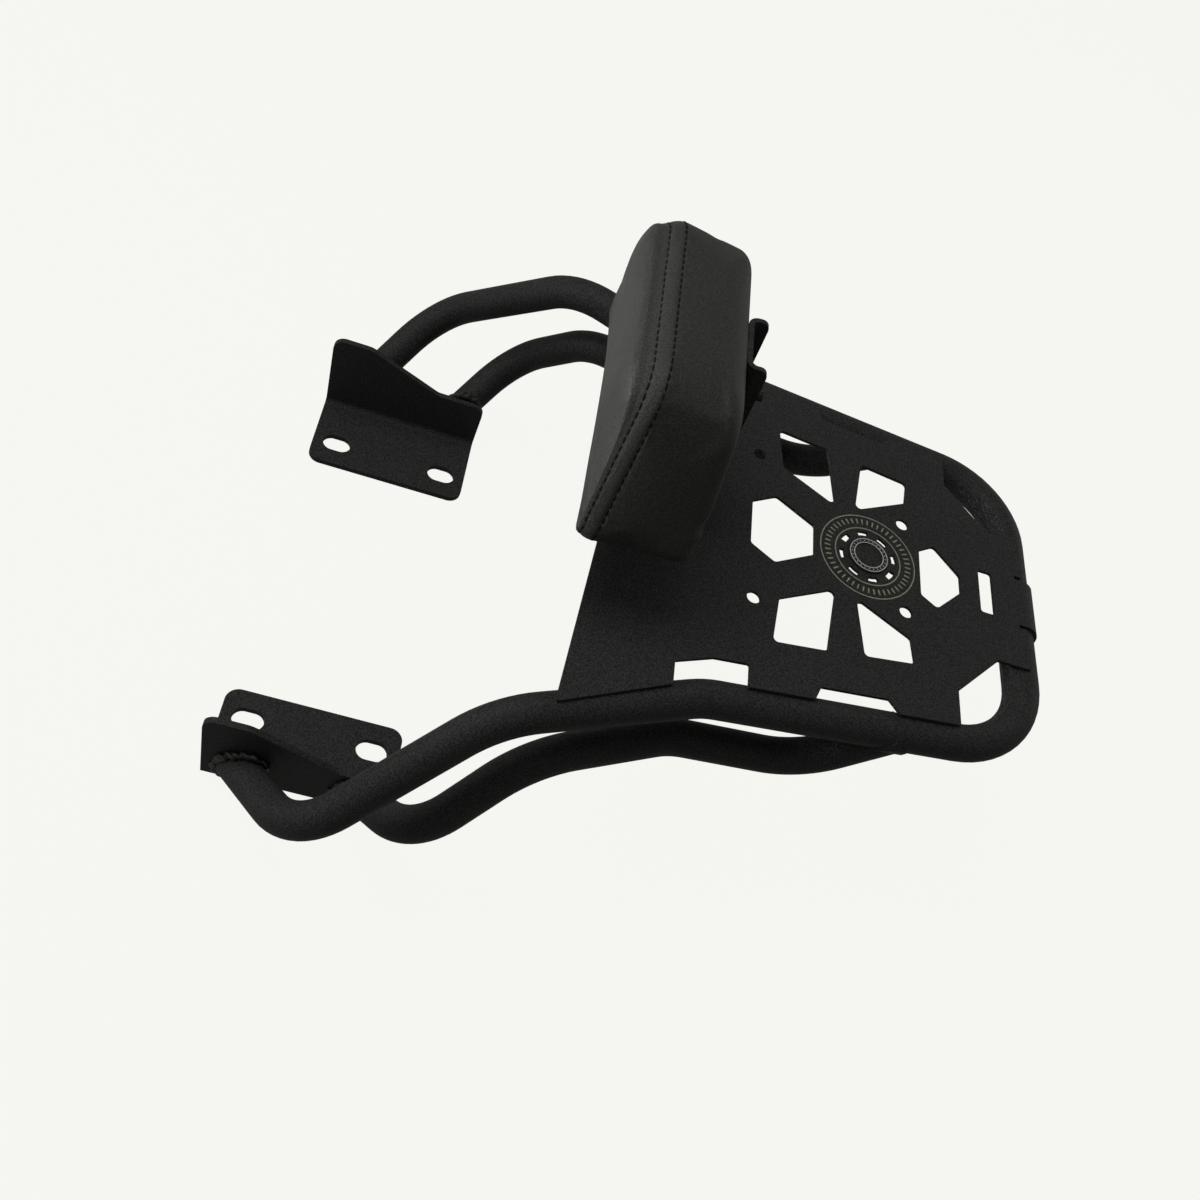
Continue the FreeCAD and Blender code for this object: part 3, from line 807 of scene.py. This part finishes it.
    def stitches(self, material: Material) -> None:
        """Sew both rows with separate stitches that lie along the groove.

        Args:
            material: The thread.
        """
        for number, row in enumerate(self.seams, 1):
            ring = [self.piece.data.vertices[row * self.around + index] for index in range(self.around)]
            path = [(vert.co.copy(), vert.normal.copy()) for vert in ring]
            verts, faces = self.row_of_stitches(path)
            new_piece(f"pad_stitches_{number}", verts, faces, material, Slot.VINYL)

    def row_of_stitches(self, path: Sequence[tuple[Vector, Vector]]) -> Shape:
        """Closed row of evenly spaced stitches.

        Args:
            path: Points of a closed seam with the cover's normal at each.

        Returns:
            Vertices and faces of all the stitches.
        """
        count = len(path)
        spans = [(path[(index + 1) % count][0] - path[index][0]).length for index in range(count)]
        total = sum(spans)
        number = round(total / (self.stitch_pitch * MM))
        verts: list[Vector] = []
        faces: Faces = []
        index, passed = 0, 0.0
        for step in range(number):
            target = total * step / number
            while passed + spans[index] < target:
                passed += spans[index]
                index += 1
            share = (target - passed) / spans[index]
            here, onward = path[index], path[(index + 1) % count]
            spot = here[0].lerp(onward[0], share)
            up = here[1].lerp(onward[1], share).normalized()
            along = (onward[0] - here[0]).normalized()
            self.add_stitch(verts, faces, spot, along, up)
        return verts, faces

    def add_stitch(
            self, verts: list[Vector], faces: Faces, spot: Vector, along: Vector, up: Vector) -> None:
        """Add one stitch: a short thread that dives into the cover at both ends.

        Args:
            verts: Vertices so far.
            faces: Faces so far.
            spot: Middle of the stitch.
            along: Direction of the seam.
            up: The cover's normal.
        """
        sides = 8
        steps = 6
        tip = 0.06
        blunt = 0.5
        arch = 0.55
        sunk = 0.15
        flatness = 0.8
        across = up.cross(along).normalized()
        base = len(verts)
        half = self.stitch_length / 2
        radius = self.stitch_width / 2
        for step in range(steps + 1):
            angle = math.pi * (tip + (1 - 2 * tip) * step / steps)
            reach = -math.cos(angle) * half
            thick = radius * math.sin(angle) ** blunt
            lift = radius * (arch * math.sin(angle) - sunk)
            for side in range(sides):
                spin = math.tau * side / sides
                offset = across * (thick * math.cos(spin)) + up * (lift + thick * flatness * math.sin(spin))
                verts.append(spot + (along * reach + offset) * MM)
        faces += grid_faces(steps + 1, sides, closed=False, base=base, flip=True)
        faces.append(tuple(base + side for side in reversed(range(sides))))
        faces.append(tuple(base + steps * sides + side for side in range(sides)))

    def build(self, vinyl: Material, thread: Material) -> None:
        """Make the cover and its stitching in place of the plain CAD panels.

        Args:
            vinyl: Finish of the cover.
            thread: Finish of the stitches.
        """
        self.cover(vinyl)
        self.swell()
        self.ease()
        self.crumple()
        self.groove()
        piece = self.piece
        smooth = piece.modifiers.new("Smooth", "SUBSURF")
        smooth.levels = 1
        smooth.render_levels = 1
        self.stitches(thread)
        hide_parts("pad_boxing", "pad_edge_strip", "pad_front_panel", "pad_foam")


@dataclass
class DeckOrnament:
    """Engraved rings and strokes on the deck, and printed lines on the badge. Lengths are in millimetres."""

    centre_x: float = -292.75
    deck_z: float = 177.0
    groove_radii: tuple[float, ...] = (32.0, 22.2)
    groove_width: float = 0.9
    groove_depth: float = 0.4
    groove_fill: float = 0.34
    stroke_count: int = 48
    stroke_inner: float = 25.0
    stroke_outer: float = 28.9
    stroke_width: float = 1.0
    badge_radii: tuple[float, ...] = (12.7, 9.95)
    badge_line: float = 0.65
    badge_top: float = 1.4
    dot_count: int = 24
    dot_radius: float = 0.42
    film: float = 0.04
    sides: int = 160
    dot_corners: int = 12

    def ring(self, radius: float, width: float, low: float, high: float) -> Shape:
        """Closed flat ring round the ornament's centre.

        Args:
            radius: Outer radius.
            width: Radial width.
            low: Height of its underside.
            high: Height of its top.

        Returns:
            Vertices and faces.
        """
        section = [(radius, low), (radius, high), (radius - width, high), (radius - width, low)]
        turns = [math.tau * side / self.sides for side in range(self.sides)]
        verts = [self.polar(reach, turn, z) for turn in turns for reach, z in section]
        return verts, grid_faces(self.sides, len(section), closed=True)

    def polar(self, reach: float, angle: float, z: float, aside: float = 0.0) -> Vector:
        """Point at a radius and an angle round the ornament's centre.

        Args:
            reach: Radius.
            angle: Angle from the bike's front.
            z: Height.
            aside: Distance to the left of the radius.

        Returns:
            The point in metres, in the row frame.
        """
        x = self.centre_x + reach * math.cos(angle) - aside * math.sin(angle)
        y = reach * math.sin(angle) + aside * math.cos(angle)
        return Vector((x, y, z)) * MM

    def plates(self, plan: Sequence[tuple[float, float]], count: int, surface: float) -> Shape:
        """Thin equal plates at even angles round the ornament's centre.

        Args:
            plan: Corners of one plate, each a radius and a distance to the left of it.
            count: Number of plates.
            surface: Height of the surface that they lie in.

        Returns:
            Vertices and faces.
        """
        verts: list[Vector] = []
        faces: Faces = []
        size = len(plan)
        for number in range(count):
            base = len(verts)
            angle = math.tau * number / count
            for z in (surface - self.film, surface + self.film):
                verts += [self.polar(reach, angle, z, aside) for reach, aside in plan]
            faces.append(tuple(base + corner for corner in reversed(range(size))))
            faces.append(tuple(base + size + corner for corner in range(size)))
            faces += grid_faces(2, size, closed=False, base=base, flip=True)
        return verts, faces

    def strokes(self) -> Shape:
        """Scale of equal radial strokes between the two rings.

        Returns:
            Vertices and faces.
        """
        inner, outer, half = self.stroke_inner, self.stroke_outer, self.stroke_width / 2
        plan = [(inner, -half), (outer, -half), (outer, half), (inner, half)]
        return self.plates(plan, self.stroke_count, self.deck_z)

    def dots(self) -> Shape:
        """Ring of plain dots between the badge's two printed rings.

        Returns:
            Vertices and faces.
        """
        track = (self.badge_radii[0] - self.badge_line + self.badge_radii[1]) / 2
        spins = [math.tau * corner / self.dot_corners for corner in range(self.dot_corners)]
        size = self.dot_radius
        plan = [(track + size * math.cos(spin), size * math.sin(spin)) for spin in spins]
        return self.plates(plan, self.dot_count, self.deck_z + self.badge_top)

    def build(self, engraved: Material, printed: Material) -> None:
        """Lay the engraved lines on the deck and the printed ones on the badge.

        Args:
            engraved: Finish of the lines on the deck.
            printed: Finish of the lines on the badge.
        """
        floor = self.deck_z - self.groove_depth
        for number, radius in enumerate(self.groove_radii, 1):
            line = self.ring(radius, self.groove_width, floor, floor + self.groove_fill)
            new_piece(f"engraved_ring_{number}", *line, engraved, Slot.COAT)
        new_piece("engraved_scale", *self.strokes(), engraved, Slot.COAT)
        badge_z = self.deck_z + self.badge_top
        for number, radius in enumerate(self.badge_radii, 1):
            line = self.ring(radius, self.badge_line, badge_z - self.film, badge_z + self.film)
            new_piece(f"badge_ring_{number}", *line, printed, Slot.BADGE)
        new_piece("badge_dots", *self.dots(), printed, Slot.BADGE)


@dataclass
class UprightWelds:
    """Hand-laid beads where the tubes meet the brackets' outer faces. Lengths are in millimetres."""

    tube_radius: float = 11.0
    upright_y: float = 160.5
    weld_leg: float = 2.8
    top_leg: float = 3.6
    ripple_pitch: float = 4.2
    ripple_depth: float = 0.4
    lump_length: float = 4.6
    lump_depth: float = 2.0
    hump: float = 0.62
    hump_swell: float = 0.12
    spread: float = 1.5
    climb: float = 1.7
    root_depth: float = 1.0
    around: int = 220
    across: int = 9
    loop_weld: Point = (35.3, 160.5, 21.6)
    loop_run: Point = (-41.0, 55.0, 44.7)
    lower_weld: Point = (-35.9, 160.5, 25.1)
    lower_run: Point = (-31.7, 37.3, 36.8)

    def bead(self, weld: Vector, run: Vector, mirror: float) -> Shape:
        """Rippled fillet round a tube, on the plane of the upright's outer face.

        Args:
            weld: Where the tube's centre line meets the upright.
            run: Direction of the tube away from the upright.
            mirror: One for the left side of the bike, minus one for the right.

        Returns:
            Vertices and faces of a closed bead.
        """
        axis = run.normalized()
        first = axis.cross(Vector((0, 0, 1))).normalized()
        second = axis.cross(first)
        verts: list[Vector] = []
        travelled = 0.0
        last = None
        for step in range(self.around):
            angle = math.tau * step / self.around
            spoke = first * math.cos(angle) + second * math.sin(angle)
            foot = weld + spoke * self.tube_radius
            foot -= axis * ((foot.y - self.upright_y) / axis.y)
            travelled += (foot - last).length if last else 0.0
            last = foot
            outward = Vector((spoke.x, 0, spoke.z)).normalized()
            lump = noise.noise(foot / self.lump_length + Vector((0, mirror, 0)))
            ripple = math.sin(math.tau * travelled / self.ripple_pitch)
            leg = self.weld_leg + self.top_leg * max(spoke.z, 0.0)
            leg += lump * self.lump_depth + ripple * self.ripple_depth
            for corner in range(self.across):
                sweep = math.pi / 2 * corner / (self.across - 1)
                reach = leg * (self.hump + self.hump_swell * math.sin(2 * sweep))
                spot = foot + outward * (reach * math.cos(sweep) * self.spread)
                spot += axis * (reach * math.sin(sweep) * self.climb)
                verts.append(Vector((spot.x, spot.y * mirror, spot.z)) * MM)
            inner = foot - spoke * self.root_depth
            verts.append(Vector((inner.x, inner.y * mirror, inner.z)) * MM)
        return verts, grid_faces(self.around, self.across + 1, closed=True, flip=True)

    def build(self, material: Material) -> None:
        """Lay all four beads in place of the plain CAD ones.

        Args:
            material: Finish of the beads.
        """
        tubes = {
            "upper_tube_welds": (self.loop_weld, self.loop_run),
            "lower_tube_front_welds": (self.lower_weld, self.lower_run),
        }
        for node, (weld, run) in tubes.items():
            for side, mirror in (("left", 1.0), ("right", -1.0)):
                verts, faces = self.bead(Vector(weld), Vector(run), mirror)
                piece = new_piece(f"{node}_{side}_bead", verts, faces, material, Slot.COAT)
                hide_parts(node)


@dataclass
class WeldedFrame:
    """The rack's CAD nodes and the finish that each one gets."""

    coated: tuple[str, ...] = (
        "upper_loop_tube", "lower_tube_left", "lower_tube_right", "rack_plate", "bracket_left",
        "bracket_right", "backrest_channel", "deck_welds", "lower_tube_rear_welds", "channel_weld",
        "centre_badge")
    plated: tuple[str, ...] = ("pad_studs", "pad_washers", "pad_nuts")
    board: tuple[str, ...] = ("pad_board",)

    @staticmethod
    def dress(nodes: Sequence[str], material: Material) -> None:
        """Give CAD nodes a finish.

        Args:
            nodes: Names of the nodes.
            material: Their finish.
        """
        for name in nodes:
            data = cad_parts[name].data
            data.materials.clear()
            data.materials.append(material)
            log.info("dressed %s in %s", name, material.name)


@dataclass(frozen=True)
class Softbox:
    """Square softbox, gridded where it lights one place. Lengths are in metres, angles in degrees."""

    name: str
    place: Point
    size: float
    watts: float
    target: Point = (-0.16, 0.0, 0.16)
    grid_deg: float = 180.0

    def build(self) -> None:
        """Hang the light and aim it."""
        data = bpy.data.lights.new(self.name, "AREA")
        data.shape = "SQUARE"
        data.size = self.size
        data.energy = self.watts
        data.spread = math.radians(self.grid_deg)
        lamp = bpy.data.objects.new(self.name, data)
        lamp.location = self.place
        aim = Vector(self.target) - Vector(self.place)
        lamp.rotation_euler = aim.to_track_quat("-Z", "Y").to_euler()
        bpy.context.scene.collection.objects.link(lamp)


@dataclass
class Studio:
    """Camera, lights, floor and backdrop. Lengths are in metres, angles in degrees."""

    eye: Point = (0.0005, 0.5248, 0.7275)
    azimuth: float = 16.67
    elevation: float = 50.508
    roll: float = -28.968
    lens_mm: float = 39.15
    sensor_mm: float = 36.0
    backdrop: str = "#F7F8F3"
    floor_half: float = 8.0
    floor_gap_mm: float = 0.3
    floor_grey: str = "#6E6E6C"
    floor_glow: float = 0.97
    ambient: float = 0.08
    glossy_share: float = 0.3
    lights: tuple[Softbox, ...] = (
        Softbox("key_softbox", (1.2, 0.1, 0.7), 1.0, 6.0),
        Softbox("top_softbox", (0.25, -0.1, 1.45), 0.8, 7.0),
        Softbox("rear_softbox", (-1.2, -0.6, 0.3), 1.0, 1.6),
        Softbox("pad_softbox", (0.95, 0.06, 0.2), 0.2, 0.185, (-0.11, 0.0, 0.275), 18.0),
    )

    def camera(self) -> None:
        """Set the camera at the photograph's viewing angle."""
        azimuth = math.radians(self.azimuth)
        elevation = math.radians(self.elevation)
        roll = math.radians(self.roll)
        ahead = math.cos(elevation)
        back = Vector((math.sin(azimuth) * ahead, math.cos(azimuth) * ahead, math.sin(elevation)))
        level = (-back).cross(Vector((0, 0, 1))).normalized()
        down = (-back).cross(level)
        right = level * math.cos(roll) + down * math.sin(roll)
        up = level * math.sin(roll) - down * math.cos(roll)
        turn = Matrix((right, up, back)).transposed().to_4x4()
        data = bpy.data.cameras.new("photo_camera")
        data.lens = self.lens_mm
        data.sensor_width = self.sensor_mm
        data.clip_start = 0.01
        data.clip_end = 60.0
        eye = bpy.data.objects.new("photo_camera", data)
        eye.matrix_world = Matrix.Translation(self.eye) @ turn
        bpy.context.scene.collection.objects.link(eye)
        bpy.context.scene.camera = eye

    def seen_share(self, tree: NodeTree) -> NodeSocket:
        """Share of the backdrop's glow in a ray: all for seen and transmitted rays, some for glossy ones.

        Args:
            tree: Node tree of the floor or the world.

        Returns:
            Socket of the share.
        """
        path = add_node(tree, "ShaderNodeLightPath")
        glossy = add_node(
            tree, "ShaderNodeMath",
            {0: path.outputs["Is Glossy Ray"], 1: self.glossy_share}, operation="MULTIPLY")
        share = glossy.outputs[0]
        for ray in ("Is Camera Ray", "Is Transmission Ray"):
            most = add_node(tree, "ShaderNodeMath", {0: path.outputs[ray], 1: share}, operation="MAXIMUM")
            share = most.outputs[0]
        return share

    def world(self) -> None:
        """Light the scene from all round and show the backdrop's colour to the camera."""
        world = bpy.data.worlds.new("studio")
        tree = empty_tree(world)
        level = add_node(
            tree, "ShaderNodeMapRange", {"Value": self.seen_share(tree), "To Min": self.ambient})
        glow = add_node(
            tree, "ShaderNodeBackground", {"Color": linear(self.backdrop), "Strength": level.outputs[0]})
        add_node(tree, "ShaderNodeOutputWorld", {"Surface": glow.outputs[0]})
        bpy.context.scene.world = world

    def floor(self) -> None:
        """Lay a pale floor that shows the backdrop's colour and a faint shadow."""
        half = self.floor_half
        mesh = bpy.data.meshes.new("floor")
        level = cad_box[0].z - self.floor_gap_mm * MM
        mesh.from_pydata(
            [(-half, -half, level), (half, -half, level), (half, half, level), (-half, half, level)], [],
            [(0, 1, 2, 3)])
        material = bpy.data.materials.new("studio_paper")
        tree = empty_tree(material)
        matt = add_node(tree, "ShaderNodeBsdfDiffuse", {"Color": linear(self.floor_grey)})
        pale = add_node(tree, "ShaderNodeBsdfDiffuse", {"Color": linear(self.backdrop)})
        glow = add_node(tree, "ShaderNodeEmission", {"Color": linear(self.backdrop)})
        shown = add_node(
            tree, "ShaderNodeMixShader", {0: self.floor_glow, 1: pale.outputs[0], 2: glow.outputs[0]})
        seen = self.seen_share(tree)
        both = add_node(tree, "ShaderNodeMixShader", {0: seen, 1: matt.outputs[0], 2: shown.outputs[0]})
        add_node(tree, "ShaderNodeOutputMaterial", {"Surface": both.outputs[0]})
        mesh.materials.append(material)
        ground = bpy.data.objects.new("floor", mesh)
        bpy.context.scene.collection.objects.link(ground)

    def build(self) -> None:
        """Set up the whole studio."""
        self.camera()
        for light in self.lights:
            light.build()
        self.world()
        self.floor()
        bpy.context.scene.view_settings.view_transform = "Standard"


def main() -> None:
    """Dress the rack, make the pad and set up the studio."""
    logging.basicConfig(level=logging.INFO)
    coat = PowderCoat().build()
    vinyl = UpholsteryVinyl().build()
    thread = PolyesterThread().build()
    rack = WeldedFrame()
    rack.dress(rack.coated, coat)
    rack.dress(rack.plated, BlackZinc().build())
    rack.dress(rack.board, StainedPlywood().build())
    BackrestPad().build(vinyl, thread)
    log.info("made the backrest pad")
    DeckOrnament().build(ENGRAVED_STEEL.build(), PRINTED_ENAMEL.build())
    log.info("laid the ornament's lines")
    UprightWelds().build(WeldMetal().build())
    Studio().build()


if __name__ == "__main__":
    main()
